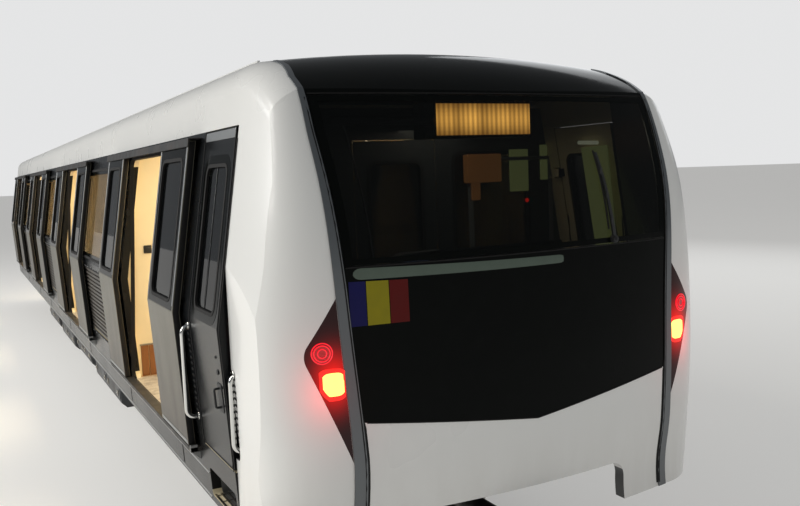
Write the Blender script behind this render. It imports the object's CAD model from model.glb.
import math

import bpy
from mathutils import Matrix, Vector
from mathutils.bvhtree import BVHTree


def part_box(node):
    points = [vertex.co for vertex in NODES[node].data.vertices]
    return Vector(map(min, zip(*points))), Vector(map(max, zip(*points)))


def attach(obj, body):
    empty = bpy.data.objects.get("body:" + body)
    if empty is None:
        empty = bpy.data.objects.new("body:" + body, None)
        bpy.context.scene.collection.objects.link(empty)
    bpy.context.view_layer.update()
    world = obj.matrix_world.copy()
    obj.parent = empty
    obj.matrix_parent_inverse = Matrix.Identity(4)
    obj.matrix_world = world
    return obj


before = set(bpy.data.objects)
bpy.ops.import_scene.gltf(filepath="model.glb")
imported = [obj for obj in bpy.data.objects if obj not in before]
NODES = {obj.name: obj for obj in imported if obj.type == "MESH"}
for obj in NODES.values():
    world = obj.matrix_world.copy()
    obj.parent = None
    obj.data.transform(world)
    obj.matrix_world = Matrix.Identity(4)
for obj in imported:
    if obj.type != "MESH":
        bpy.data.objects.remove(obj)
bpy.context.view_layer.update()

# The car's section, in metres: half widths and heights of the side's corners.
KINK_Y, KINK_Z = 1.550, 2.048
SHOULDER_Y, SHOULDER_Z = 1.313, 3.520
FOOT_Y, FOOT_Z = 1.480, 0.858
CANTRAIL_Z = 3.172
FLOOR_Z = 1.158
CEILING_Z = 3.330
WALL = 0.060
UPPER_SLOPE = (KINK_Y - SHOULDER_Y) / (SHOULDER_Z - KINK_Z)
LOWER_SLOPE = (KINK_Y - FOOT_Y) / (KINK_Z - FOOT_Z)
LEFT, RIGHT = 1, -1
ALONG, ACROSS, UP = (1, 0, 0), (0, 1, 0), (0, 0, 1)

DOOR_CENTRES = [6.34 - 4.6 * k for k in range(4)]
DOORWAY_HALF = 0.755
LEAF_OUT = 0.070
LEAF_THICKNESS = 0.045


# Shader maths


def tone(code):
    """A linear colour from a six-figure code as a screen shows it; anything else as it is."""
    if not isinstance(code, str):
        return code
    parts = [int(code[k : k + 2], 16) / 255 for k in (0, 2, 4)]
    return tuple(p / 12.92 if p <= 0.04045 else ((p + 0.055) / 1.055) ** 2.4 for p in parts)


class Field:
    """A value, colour or vector that varies over a surface."""

    def __init__(self, finish, socket):
        self.finish = finish
        self.socket = socket

    def maths(self, operation, *values, clamp=False):
        settings = {"operation": operation, "use_clamp": clamp}
        return self.finish.node("ShaderNodeMath", settings, dict(enumerate(values)))

    def __add__(self, other):
        return self.maths("ADD", self, other)

    def __radd__(self, other):
        return self.maths("ADD", other, self)

    def __sub__(self, other):
        return self.maths("SUBTRACT", self, other)

    def __rsub__(self, other):
        return self.maths("SUBTRACT", other, self)

    def __mul__(self, other):
        return self.maths("MULTIPLY", self, other)

    def __rmul__(self, other):
        return self.maths("MULTIPLY", other, self)

    def above(self, level, softness):
        """0 below the level and 1 above it, with a soft step."""
        return self.maths("DIVIDE", self - level, softness, clamp=True)

    def wave(self):
        return self.maths("SINE", self)

    def falloff(self):
        return self.maths("EXPONENT", self)


class Finish:
    """A material, built up from fields over the object's own coordinates."""

    def __init__(self, name, colour, roughness, metallic=0.0, **constants):
        self.material = bpy.data.materials.new(name)
        self.material.use_nodes = True
        self.tree = self.material.node_tree
        self.shader = self.tree.nodes["Principled BSDF"]
        self.slot = None
        self.look(colour, roughness)
        self.put("Metallic", metallic)
        for label, value in constants.items():
            self.put(label.replace("_", " ").title().replace("Ior", "IOR"), value)

    def fill(self, socket, value):
        value = tone(value)
        if isinstance(value, Field):
            self.tree.links.new(value.socket, socket)
        elif isinstance(value, tuple) and len(value) == 3 and socket.type == "RGBA":
            socket.default_value = (*value, 1.0)
        else:
            socket.default_value = value

    def put(self, label, value):
        self.fill(self.shader.inputs[label], value)
        return self

    def look(self, colour, roughness):
        return self.put("Base Color", colour).put("Roughness", roughness)

    def glow(self, colour, strength):
        return self.put("Emission Color", colour).put("Emission Strength", strength)

    def node(self, kind, settings=None, inputs=None, output=0):
        node = self.tree.nodes.new(kind)
        for label, value in (settings or {}).items():
            setattr(node, label, value)
        for label, value in (inputs or {}).items():
            self.fill(node.inputs[label], value)
        return Field(self, node.outputs[output])

    def place(self):
        return self.node("ShaderNodeTexCoord", output="Object")

    def axis(self, letter):
        return self.node("ShaderNodeSeparateXYZ", inputs={0: self.place()}, output=letter)

    def vector(self, operation, first, second, output=0):
        return self.node("ShaderNodeVectorMath", {"operation": operation}, {0: first, 1: second}, output)

    def noise(self, scale, detail=3.0, stretch=None):
        vector = self.vector("MULTIPLY", self.place(), stretch) if stretch else self.place()
        inputs = {"Vector": vector, "Scale": scale, "Detail": detail, "Roughness": 0.55}
        return self.node("ShaderNodeTexNoise", inputs=inputs)

    def cells(self, scale):
        return self.node("ShaderNodeTexVoronoi", {"feature": "F1"}, {"Vector": self.place(), "Scale": scale})

    def mix(self, share, first, second):
        settings = {"data_type": "RGBA", "blend_type": "MIX"}
        return self.node("ShaderNodeMix", settings, {0: share, 6: first, 7: second}, output=2)

    def bump(self, height, strength, distance):
        inputs = {"Strength": strength, "Distance": distance, "Height": height}
        return self.put("Normal", self.node("ShaderNodeBump", inputs=inputs))


def grimy(finish, clean, dirt, foot, reach, amount):
    """Colour that turns dusty towards its foot, with faint streaks."""
    low = 1 - finish.axis("Z").above(foot, reach)
    streaks = finish.noise(3.0, 4.0, (3.0, 3.0, 0.35))
    return finish.mix(low * streaks * amount, clean, dirt)


def lined(finish, outside, inside, centre=(0, 0, 2.2), along=0.0):
    """A shell's colours: one on its outer face and the lining's on its inner face."""
    normal = finish.node("ShaderNodeTexCoord", output="Normal")
    place = finish.vector("MULTIPLY", finish.place(), (along, 1, 1))
    outwards = finish.vector("DOT_PRODUCT", finish.vector("SUBTRACT", place, centre), normal, "Value")
    return finish.mix(outwards.above(-0.05, 0.02), inside, outside)


# Finishes

LINING = "E3D5B2"


def gloss_white(name="gloss_white_paint", inside="E6D9B8", centre=(0, 0, 2.2), along=0.0):
    finish = Finish(name, "E9E9E6", 0.26, coat_weight=0.35, coat_roughness=0.12)
    paint = grimy(finish, "E2E2DF", "A8A297", 0.80, 0.70, 0.5)
    return finish.look(lined(finish, paint, inside, centre, along), 0.24 + finish.noise(1.5) * 0.08)


def anthracite_paint():
    finish = Finish("anthracite_paint", "24262A", 0.28, coat_weight=0.04, coat_roughness=0.1,
                    specular_ior_level=0.16)
    paint = grimy(finish, "141618", "37332D", 0.85, 0.8, 0.4)
    finish.look(lined(finish, paint, LINING), 0.2 + finish.noise(2.5) * 0.12)
    return finish.bump(finish.noise(420.0, 1.0), 0.012, 0.0003)


def end_paint():
    finish = Finish("rear_end_paint", "24262A", 0.35)
    paint = grimy(finish, "1B1D20", "4F4A42", 0.85, 1.2, 0.7)
    inner = finish.axis("X").above(-9.480, 0.004)
    finish.look(finish.mix(inner, paint, LINING), 0.28 + finish.noise(4.0) * 0.15)
    return finish.bump(finish.noise(300.0, 2.0), 0.02, 0.0004)


def ribbed_paint():
    finish = Finish("ribbed_panel_paint", "302E2B", 0.42, 0.25)
    dust = finish.noise(4.0, 4.0, (1.0, 1.0, 0.5))
    finish.look(finish.mix(dust * 0.5, "2A2826", "6A6257"), 0.32 + dust * 0.25)
    return finish.bump(finish.noise(180.0, 2.0), 0.08, 0.0008)


def leaf_metal():
    finish = Finish("metallic_grey_leaf", "8F8B82", 0.36, 0.5, coat_weight=0.08, coat_roughness=0.2)
    grain = 0.3 + finish.cells(900.0) * 0.12 + finish.noise(3.0) * 0.08
    finish.look(grimy(finish, "68665A", "33291E", 1.25, 1.1, 1.6), grain)
    return finish.bump(finish.noise(420.0, 1.0), 0.04, 0.0004)


def brushed_aluminium(name="brushed_aluminium", shade="B4B5B5", along=(0.6, 40.0, 40.0)):
    finish = Finish(name, shade, 0.32, 0.9)
    grain = finish.noise(60.0, 3.0, along)
    finish.look(finish.mix(grain, shade, "8D8D8B"), 0.26 + grain * 0.2)
    return finish.bump(grain, 0.05, 0.0003)


def silver_paint():
    finish = Finish("silver_grey_strip", "8A8D90", 0.34, 0.6, coat_weight=0.3)
    finish.look(grimy(finish, "65696C", "4A4742", 0.80, 0.9, 0.5), 0.3 + finish.noise(5.0) * 0.1)
    return finish.bump(finish.noise(500.0, 1.0), 0.02, 0.0003)


def bright_tread():
    finish = Finish("ridged_sill_plate", "D8D2C4", 0.35, 0.6)
    wear = finish.noise(14.0, 4.0)
    finish.look(finish.mix(wear.above(0.45, 0.3), "DDD7C9", "A79F90"), 0.28 + wear * 0.2)
    return finish.bump((finish.axis("Y") * 480.0).wave(), 0.25, 0.0008)


def polished_rail():
    finish = Finish("polished_steel_tube", "D9D9D6", 0.1, 1.0)
    finish.put("Roughness", 0.08 + finish.noise(12.0).above(0.55, 0.3) * 0.1)
    return finish.bump(finish.noise(90.0, 2.0, (1.0, 1.0, 0.1)), 0.02, 0.0003)


def black_glass():
    finish = Finish("gloss_black_panel", "080A09", 0.12, specular_ior_level=0.06)
    dust = finish.noise(9.0, 4.0).above(0.5, 0.5) * 0.06
    finish.look(finish.mix(dust, "090B0A", "303230"), 0.08 + finish.noise(3.0) * 0.05)
    return finish.bump(finish.noise(2.5, 1.0), 0.01, 0.001)


def clear_glass(name, shade, alpha, level=0.5):
    finish = Finish(name, shade, 0.04, specular_ior_level=level)
    haze = finish.noise(5.0, 4.0).above(0.6, 0.4)
    return finish.put("Roughness", 0.03 + haze * 0.05).put("Alpha", alpha + haze * 0.03)


def lamp_cover():
    """Dark red glass that glows round the lit lamp."""
    lit_y, lit_z = 1.172, 1.850
    finish = Finish("dark_red_lamp_cover", "0E0203", 0.08, coat_weight=0.1, specular_ior_level=0.25)
    aside = finish.axis("Y")
    aside = aside.maths("ABSOLUTE", aside) - lit_y
    up = finish.axis("Z") - lit_z
    near = ((aside * aside * 2.0 + up * up) * -65.0).falloff()
    finish.glow(finish.mix(near, "160203", "FF1208"), 1.0)
    return finish.put("Roughness", 0.06 + finish.noise(8.0, 2.0) * 0.05)


def matt_rubber():
    finish = Finish("matt_black_rubber", "161617", 0.7, specular_ior_level=0.25)
    finish.put("Base Color", finish.mix(finish.noise(30.0), "101011", "1E1D1C"))
    return finish.bump(finish.noise(500.0, 2.0), 0.12, 0.0005)


def dark_plastic(name="dark_moulded_plastic", shade="1E1F20"):
    finish = Finish(name, shade, 0.5)
    finish.put("Roughness", 0.42 + finish.noise(40.0, 2.0) * 0.2)
    return finish.bump(finish.cells(700.0), 0.12, 0.0004)


def chassis_steel(name="chassis_paint", shade="2A2B2C"):
    finish = Finish(name, shade, 0.55, 0.3)
    dust = finish.noise(5.0, 5.0).above(0.4, 0.4)
    finish.look(finish.mix(dust * 0.5, shade, "4B4139"), 0.45 + dust * 0.3)
    return finish.bump(finish.noise(120.0), 0.12, 0.001)


def cast_steel():
    finish = Finish("cast_coupler_steel", "2B2A29", 0.5, 0.7)
    wear = finish.noise(9.0, 5.0).above(0.5, 0.25)
    finish.look(finish.mix(wear, "262524", "56504A"), 0.6 - wear * 0.25)
    return finish.bump(finish.noise(160.0), 0.3, 0.0015)


def wheel_steel():
    """Turned steel, brown with brake dust."""
    finish = Finish("wheel_steel", "6B625A", 0.5, 0.8)
    rust = finish.noise(12.0, 5.0)
    finish.look(finish.mix(rust, "3F3731", "61564E"), 0.4 + rust * 0.3)
    return finish.bump(finish.noise(90.0), 0.15, 0.001)


def bare_steel():
    finish = Finish("bright_turned_steel", "B9B5AE", 0.22, 1.0)
    rings = finish.noise(80.0, 2.0, (0.3, 30.0, 0.3))
    finish.look(finish.mix(rings, "BDB9B2", "8C877F"), 0.18 + rings * 0.15)
    return finish.bump(rings, 0.04, 0.0003)


def floor_sheet():
    finish = Finish("brown_floor_sheet", "8A6E55", 0.5)
    grain = finish.noise(350.0, 2.0)
    chips = finish.cells(160.0).above(0.35, 0.2)
    finish.look(finish.mix(chips * 0.35, "A8835F", "75583F"), 0.42 + grain * 0.2)
    return finish.bump(grain, 0.1, 0.0005)


def cream_laminate(name="cream_laminate", dark=None):
    """Cream laminate, with a dark grey face towards the cab where dark gives its place along the car."""
    finish = Finish(name, "E8DCBC", 0.32)
    cream = finish.mix(finish.noise(4.0), "EBDFC0", "E2D4B0")
    if dark:
        cream = finish.mix(finish.axis("X").above(dark, 0.004), cream, "34373A")
    finish.look(cream, 0.28 + finish.noise(30.0, 2.0) * 0.1)
    return finish.bump(finish.cells(500.0), 0.03, 0.0002)


def brown_kick():
    finish = Finish("brown_kick_panel", "8A5A33", 0.4)
    grain = finish.noise(6.0, 4.0, (6.0, 6.0, 0.6))
    finish.look(finish.mix(grain, "9A6538", "6F4625"), 0.35 + grain * 0.15)
    return finish.bump(finish.noise(400.0, 2.0), 0.06, 0.0003)


def seat_shell():
    finish = Finish("moulded_seat", "2E4C78", 0.4)
    finish.look(finish.mix(finish.noise(7.0), "31507E", "264067"), 0.34 + finish.noise(30.0, 2.0) * 0.12)
    return finish.bump(finish.cells(600.0), 0.08, 0.0004)


def woven_fabric(name="woven_fabric", dark="1D2127", light="343A44"):
    finish = Finish(name, dark, 0.9, sheen_weight=0.3)
    weave = (finish.axis("X") * 1300.0).wave() * (finish.axis("Z") * 1300.0).wave()
    finish.put("Base Color", finish.mix(weave.above(0.0, 0.6), dark, light))
    return finish.bump(weave, 0.35, 0.0005)


def light_grey_paint(name, shade):
    finish = Finish(name, shade, 0.5)
    soot = finish.noise(1.2, 4.0, (0.4, 1.0, 1.0))
    finish.look(finish.mix(soot.above(0.4, 0.5) * 0.45, shade, "5D5A55"), 0.42 + soot * 0.15)
    return finish.bump(finish.noise(200.0, 2.0), 0.04, 0.0004)


def glowing(name, colour, strength, body="1A0505"):
    finish = Finish(name, body, 0.25, coat_weight=0.3)
    dimmer = tuple(0.85 * c for c in tone(colour))
    return finish.glow(finish.mix(finish.noise(20.0, 1.0), colour, dimmer), strength)


def amber_field():
    """Lit dots that blur into columns, brightest along the middle."""
    middle_z = 3.172
    finish = Finish("amber_display", "301A04", 0.3)
    columns = (finish.axis("Y") * 190.0).wave() * 0.25 + 0.75
    patches = 0.55 + finish.noise(9.0, 1.0, (0.0, 1.0, 0.0)).above(0.38, 0.25) * 0.45
    up = (finish.axis("Z") - middle_z) * 12.0
    bright = (up * up * -1.0).falloff() * columns * patches
    return finish.glow(finish.mix(bright, "3A1A04", "FFBE58"), 5.2)


def red_lens():
    finish = Finish("red_lens", "A5121A", 0.1, coat_weight=0.5)
    ribs = (finish.axis("Z") * 900.0).wave()
    finish.put("Base Color", finish.mix(ribs.above(0.0, 0.9), "8E0D14", "C9202A"))
    return finish.glow("FF2A20", 0.1).bump(ribs, 0.25, 0.0008)


def plain_colour(name, shade):
    finish = Finish(name, shade, 0.35, specular_ior_level=0.12)
    finish.put("Base Color", finish.mix(finish.noise(15.0) * 0.2, shade, "2A2A2A"))
    return finish.bump(finish.noise(300.0, 2.0), 0.02, 0.0003)


WHITE = gloss_white()
NOSE_WHITE = gloss_white("nose_white_paint", "26282A", (8.0, 0, 2.2), 1.0)
BAND = anthracite_paint()
END = end_paint()
RIBBED = ribbed_paint()
LEAF = leaf_metal()
SILL = brushed_aluminium()
TREAD = bright_tread()
STRIP = silver_paint()
FRAME_METAL = brushed_aluminium("leaf_frame_aluminium", "A5A9AC", (40.0, 40.0, 0.6))
CHROME = polished_rail()
BLACK = black_glass()
SCREEN = clear_glass("windscreen_glass", "050706", 0.62, 0.2)
TINTED = clear_glass("tinted_side_glass", "0B0D0E", 0.55)
DOOR_GLASS = clear_glass("dark_door_glass", "090B0C", 0.86, 0.35)
BULKHEAD_GLASS = clear_glass("dark_inner_glass", "070908", 0.86, 0.3)
RUBBER = matt_rubber()
PLASTIC = dark_plastic()
GREY_PLASTIC = dark_plastic("grey_moulded_plastic", "6E7174")
CHASSIS = chassis_steel()
BOXES = chassis_steel("equipment_box_paint", "4A4C4E")
CAST = cast_steel()
WHEEL = wheel_steel()
STEEL = bare_steel()
FLOOR = floor_sheet()
CREAM = cream_laminate()
BULKHEAD = cream_laminate("bulkhead_laminate", 7.872)
KICK = brown_kick()
SEAT = seat_shell()
FABRIC = woven_fabric()
CUSHION = woven_fabric("seat_cushion_fabric", "223A5E", "3E5C8C")
ROOF = light_grey_paint("roof_paint", "8E9092")
LENS = red_lens()
LAMP_BASE = lamp_cover()
LAMP_LIT = glowing("lit_tail_lamp", "FFE070", 2.0)
LAMP_RED = glowing("red_glow", "FF1A0C", 1.6)
RING_RED = glowing("red_lamp_ring", "E01A28", 1.6)
SIDE_LAMP = glowing("cab_side_lamp", "C4CAAE", 0.8, "C8CCB8")
RED_SPOT = glowing("red_pilot_lamp", "FF2010", 1.2)
AMBER = amber_field()
WARM_LIGHT = glowing("warm_ceiling_light", "FFD79A", 4.0, "F0E8D8")
SCREEN_LIGHT = glowing("desk_screen", "2C5A52", 0.5, "0A0D0C")
BLUE = plain_colour("blue_stripe", "15154E")
YELLOW = plain_colour("yellow_stripe", "8C841A")
RED = plain_colour("red_stripe", "5A1210")
PALE_GREEN = plain_colour("pale_strip", "5A665C")
LIT_LINING = glowing("pale_lit_lining", "8F9A60", 0.6, "6E7650")
LIT_CABINET = glowing("orange_cabinet", "C98A4C", 0.30, "6A4528")

# Each finish with the nodes that it covers, and the slot that its pieces usually have.
for paint, nodes in (
    (CHASSIS, "underframe door_rails bogie_frame_front bogie_frame_rear"), (BOXES, "underfloor_boxes"),
    (SILL, "cab_steps gangway_frame"), (BAND, "wall_right wall_left cab_door_right cab_door_left"),
    (RIBBED, "rib_panels"), (WHITE, "cantrails"), (ROOF, "roof_panel roof_units"), (END, "end_wall"),
    (RUBBER, "gangway_bellows"), (NOSE_WHITE, "nose_mask nose_panel"), (STRIP, "front_frame"),
    (SCREEN, "windscreen"), (BLACK, "front_panel nose_fairing"), (TINTED, "side_glass"),
    (LAMP_BASE, "lamp_housings"), (LENS, "lamp_lenses"), (PLASTIC, "wiper driver_desk display_box"),
    (CHROME, "grab_rails poles"), (FLOOR, "floor_cover"), (SEAT, "seats"), (CREAM, "draught_screens ceiling"),
    (BULKHEAD, "cab_bulkhead bulkhead_door"), (FABRIC, "driver_seat"), (CAST, "coupler_front drawbar_rear"),
    (LEAF, " ".join(name for name in NODES if name.startswith(("door_right", "door_left")))),
    (WHEEL, " ".join(name for name in NODES if name.startswith("wheelset"))),
):
    for name in nodes.split():
        NODES[name].data.materials.clear()
        NODES[name].data.materials.append(paint.material)
for slot, paints in {
    "black_gloss": (BLACK, BLUE, YELLOW, RED), "tinted_glass": (DOOR_GLASS, BULKHEAD_GLASS),
    "sill_metal": (SILL, FRAME_METAL, TREAD), "black_plastic": (RUBBER, PLASTIC, GREY_PLASTIC),
    "bright_rail": (CHROME,), "dark_steel": (STEEL, CHASSIS), "cast_steel": (CAST,), "box_grey": (BOXES,),
    "cream_panel": (CREAM, WARM_LIGHT, LIT_CABINET, LIT_LINING, SIDE_LAMP), "floor_brown": (KICK,),
    "lamp_red": (LAMP_RED, LAMP_LIT, RING_RED, RED_SPOT), "display_amber": (AMBER,), "roof_grey": (ROOF,),
    "seat_fabric": (CUSHION,), "seat_plastic": (SEAT,), "screen_glass": (PALE_GREEN,), "desk_dark": (SCREEN_LIGHT,),
}.items():
    for paint in paints:
        paint.slot = slot


# Making pieces

FACET_ANGLE = math.radians(32.0)


def around(centre, axis, radius, distance, angle):
    """A point at a radius, distance and angle round an axis through the centre."""
    turn = Vector(UP).rotation_difference(Vector(axis).normalized())
    return Vector(centre) + turn @ Vector((radius * math.cos(angle), radius * math.sin(angle), distance))


def full_turn(count):
    return [math.tau * k / count for k in range(count)]


class Piece:
    """One mesh that is built up from simple forms and then rides on a body."""

    def __init__(self):
        self.points, self.faces = [], []

    def loft(self, loops, closed=False):
        """Skin successive loops of as many points each; closed joins the last loop to the first."""
        base, count, last = len(self.points), len(loops[0]), len(loops) - 1
        self.points += [tuple(p) for loop in loops for p in loop]
        for a, b in [(k, k + 1) for k in range(last)] + [(last, 0)] * closed:
            row_a, row_b = base + a * count, base + b * count
            for k in range(count):
                n = (k + 1) % count
                self.faces.append((row_a + k, row_a + n, row_b + n, row_b + k))
        if not closed:
            top = base + last * count
            self.faces += [tuple(range(base + count - 1, base - 1, -1)), tuple(range(top, top + count))]
        return self

    def block(self, low, high, edge):
        """A box with chamfered edges."""
        (x0, y0, z0), (x1, y1, z1) = low, high
        edge = min(edge, (x1 - x0) / 3, (y1 - y0) / 3, (z1 - z0) / 3)
        tip = edge * 0.4
        rows = []
        for inset, cut, z in ((edge, tip, z0), (0, edge, z0 + edge), (0, edge, z1 - edge), (edge, tip, z1)):
            a0, a1, b0, b1 = x0 + inset, x1 - inset, y0 + inset, y1 - inset
            rows.append([(a0 + cut, b0, z), (a1 - cut, b0, z), (a1, b0 + cut, z), (a1, b1 - cut, z),
                         (a1 - cut, b1, z), (a0 + cut, b1, z), (a0, b1 - cut, z), (a0, b0 + cut, z)])
        return self.loft(rows)

    def turned(self, centre, axis, profile, sides=24):
        """A body of revolution from (radius, distance) pairs along an axis through the centre."""
        return self.loft([[around(centre, axis, r, d, a) for a in full_turn(sides)] for r, d in profile])

    def revolved(self, centre, axis, outline, sides=32):
        """A closed outline of (radius, distance) pairs turned right round an axis."""
        return self.loft([[around(centre, axis, r, d, a) for r, d in outline] for a in full_turn(sides)], True)

    def ring(self, centre, axis, inner, outer, length, sides=32, start=0.0):
        """A flat ring along an axis, forwards from its start."""
        end = start + length
        return self.revolved(centre, axis, [(inner, start), (outer, start), (outer, end), (inner, end)], sides)

    def disc(self, centre, axis, radius, length, sides, edge):
        edge = min(edge, radius / 3, length / 3)
        profile = [(radius - edge, 0), (radius, edge), (radius, length - edge), (radius - edge, length)]
        return self.turned(centre, axis, profile, sides)

    def bolt(self, centre, axis, radius=0.009, height=0.007):
        return self.disc(centre, axis, radius, height, 6, radius * 0.2)

    def tube(self, path, radius, sides=10):
        """A round bar along a path, carried square to each stretch."""
        path = [Vector(p) for p in path]
        loops = []
        for k, point in enumerate(path):
            ahead = path[min(k + 1, len(path) - 1)] - path[max(k - 1, 0)]
            ahead.normalize()
            if not loops:
                side = ahead.orthogonal().normalized()
            side = (side - ahead * side.dot(ahead)).normalized()
            other = ahead.cross(side)
            loops.append([point + (side * math.cos(a) + other * math.sin(a)) * radius for a in full_turn(sides)])
        return self.loft(loops)

    def both(self, *labels, **slot):
        """Finish the piece with the same forms on the other side of the car too."""
        count = len(self.points)
        self.points += [(x, -y, z) for x, y, z in self.points]
        self.faces += [tuple(count + k for k in reversed(face)) for face in self.faces]
        self.finish(*labels, **slot)

    def finish(self, name, paint, body="carbody", slot=None):
        mesh = bpy.data.meshes.new(name)
        mesh.from_pydata(self.points, [], self.faces)
        mesh.validate()
        mesh.update()
        mesh.materials.append(paint.material)
        mesh.polygons.foreach_set("use_smooth", [True] * len(mesh.polygons))
        mesh.set_sharp_from_angle(angle=FACET_ANGLE)
        piece = bpy.data.objects.new(name, mesh)
        bpy.context.scene.collection.objects.link(piece)
        slot = slot or paint.slot
        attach(piece, body)


def pieces(count):
    return [Piece() for _ in range(count)]


def circle(centre, axis, reach, count, start=0.0):
    """Points on a circle square to one of the car's axes; start is in degrees."""
    spots = []
    for angle in full_turn(count):
        a, b = reach * math.cos(angle + math.radians(start)), reach * math.sin(angle + math.radians(start))
        spots.append(Vector(centre) + Vector({ALONG: (0, a, b), ACROSS: (a, 0, b), UP: (a, b, 0)}[axis]))
    return spots


def rounded_path(points, radius):
    """A path whose corners are replaced by arcs."""
    points = [Vector(p) for p in points]
    path = [points[0]]
    for before, corner, after in zip(points, points[1:], points[2:]):
        back, ahead = before - corner, after - corner
        reach = min(radius, back.length / 2.01, ahead.length / 2.01)
        start, end = corner + back.normalized() * reach, corner + ahead.normalized() * reach
        for t in spaced(0.0, 1.0, 1 / 6):
            path.append(start * (1 - t) ** 2 + corner * 2 * t * (1 - t) + end * t**2)
    return path + [points[-1]]


def rounded_loop(a0, a1, b0, b1, radius, steps=5):
    """The outline of a rounded rectangle, the same number of points at any size."""
    loop = []
    for a, b, start in ((a1 - radius, b0 + radius, -90), (a1 - radius, b1 - radius, 0),
                        (a0 + radius, b1 - radius, 90), (a0 + radius, b0 + radius, 180)):
        for k in range(steps + 1):
            angle = math.radians(start + 90 * k / steps)
            loop.append((a + radius * math.cos(angle), b + radius * math.sin(angle)))
    return loop


def grown(limits, amount):
    a0, a1, b0, b1, radius = limits
    return a0 - amount, a1 + amount, b0 - amount, b1 + amount, max(radius + amount, 0.004)


def spaced(first, last, step):
    """Even places from first to last, about a step apart."""
    count = max(1, round((last - first) / step))
    return [first + (last - first) * k / count for k in range(count + 1)]


def side_y(z):
    return KINK_Y - (z - KINK_Z) * UPPER_SLOPE if z > KINK_Z else KINK_Y - (KINK_Z - z) * LOWER_SLOPE


def skin(side, x, z, out):
    """A point on a side of the car, moved outwards from the wall's face."""
    slope = UPPER_SLOPE if z > KINK_Z else LOWER_SLOPE
    return x, side * (side_y(z) + out * math.hypot(1, slope)), z


def laid(side, rows):
    """Rounded rectangles, each at a distance from a side's face, or at a place along the car without a side."""
    return [[skin(side, a, b, out) if side else (out, a, b) for a, b in rounded_loop(*limits)]
            for limits, out in rows]


def plate(piece, side, limits, inner, outer, edge=0.0015):
    """A flat plate with round corners on a side, between two distances from the wall's face."""
    small = grown(limits, -edge)
    piece.loft(laid(side, [(small, inner), (limits, inner + edge), (limits, outer - edge), (small, outer)]))


def rim(piece, side, hole, width, inner, outer, lap=0.0, edge=0.0015):
    """A frame on a side round a rounded opening, lapping over its edge."""
    big, small = grown(hole, width), grown(hole, -lap)
    rows = [(big, inner), (big, outer - edge), (grown(big, -edge), outer), (grown(small, edge), outer),
            (small, outer - edge), (small, inner)]
    piece.loft(laid(side, rows), True)


def across_rim(piece, hole, width, inner, outer):
    """A frame round an opening in a wall across the car, between two places along it."""
    big, small = grown(hole, width), grown(hole, -0.012)
    piece.loft(laid(None, [(big, inner), (big, outer), (small, outer), (small, inner)]), True)


def upright(piece, side, x, heights, profile):
    """A strip up a side, from (place along, distance out) pairs."""
    piece.loft([[skin(side, x + dx, z, out) for dx, out in profile] for z in heights])


def lengthwise(piece, places, z, profile):
    """A strip along the right side, from (height, distance out) pairs."""
    piece.loft([[skin(RIGHT, x, z + dz, out) for dz, out in profile] for x in places])


def screw(piece, side, x, z, out, radius=0.006, height=0.004):
    piece.bolt(skin(side, x, z, out), (0, side, 0), radius, height)


# Passenger door leaves

LEAF_BOTTOM, LEAF_TOP = 1.182, 3.128
LEAF_WINDOW = (2.110, 3.020, 0.070)
LEAF_MARGIN = 0.095
RAIL_HALF = 2 * DOORWAY_HALF + 0.065


def dress_leaf(name):
    """A leaf's pane, black surround, bright edge strips and seals."""
    low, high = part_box(name)
    side = RIGHT if high.y < 0 else LEFT
    x0, x1, out = low.x, high.x, LEAF_OUT
    window = (x0 + LEAF_MARGIN, x1 - LEAF_MARGIN, *LEAF_WINDOW)
    outer = (x0 + 0.034, x1 - 0.034, KINK_Z + 0.012, LEAF_TOP - 0.006, 0.012)
    pane, surround, strips, seals = pieces(4)
    plate(pane, side, grown(window, 0.0005), out - 0.020, out - 0.014)
    surround.loft(laid(side, [(outer, out), (outer, out + 0.0015), (window, out + 0.0015),
                              (window, out - 0.002)]), True)
    for x in (x0 + 0.006, x1 - 0.030):
        plate(strips, side, (x, x + 0.024, KINK_Z + 0.042, LEAF_TOP - 0.006, 0.004), out, out + 0.003)
    foot = (x0 + 0.012, x1 - 0.012, LEAF_BOTTOM + 0.006, LEAF_BOTTOM + 0.030, 0.004)
    plate(strips, side, foot, out, out + 0.002)
    for x in spaced(x0 + 0.05, x1 - 0.05, 0.14):
        screw(strips, side, x, LEAF_BOTTOM + 0.018, out + 0.001, 0.005, 0.003)
    rim(seals, side, window, 0.010, out - 0.012, out + 0.004, 0.014)
    rim(seals, side, window, 0.006, out - LEAF_THICKNESS - 0.003, out - 0.030, 0.014)
    near, far = out - LEAF_THICKNESS + 0.004, out - 0.004
    for x, bulge in ((x0, -0.003), (x1, 0.003)):
        upright(seals, side, x, (LEAF_BOTTOM + 0.004, KINK_Z, LEAF_TOP - 0.004),
                ((0, near), (bulge, near + 0.008), (bulge, far - 0.008), (0, far)))
    pane.finish(name + "_pane", DOOR_GLASS, name)
    surround.finish(name + "_window_surround", BLACK, name)
    strips.finish(name + "_edge_strips", FRAME_METAL, name)
    seals.finish(name + "_seals", RUBBER, name)


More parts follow.
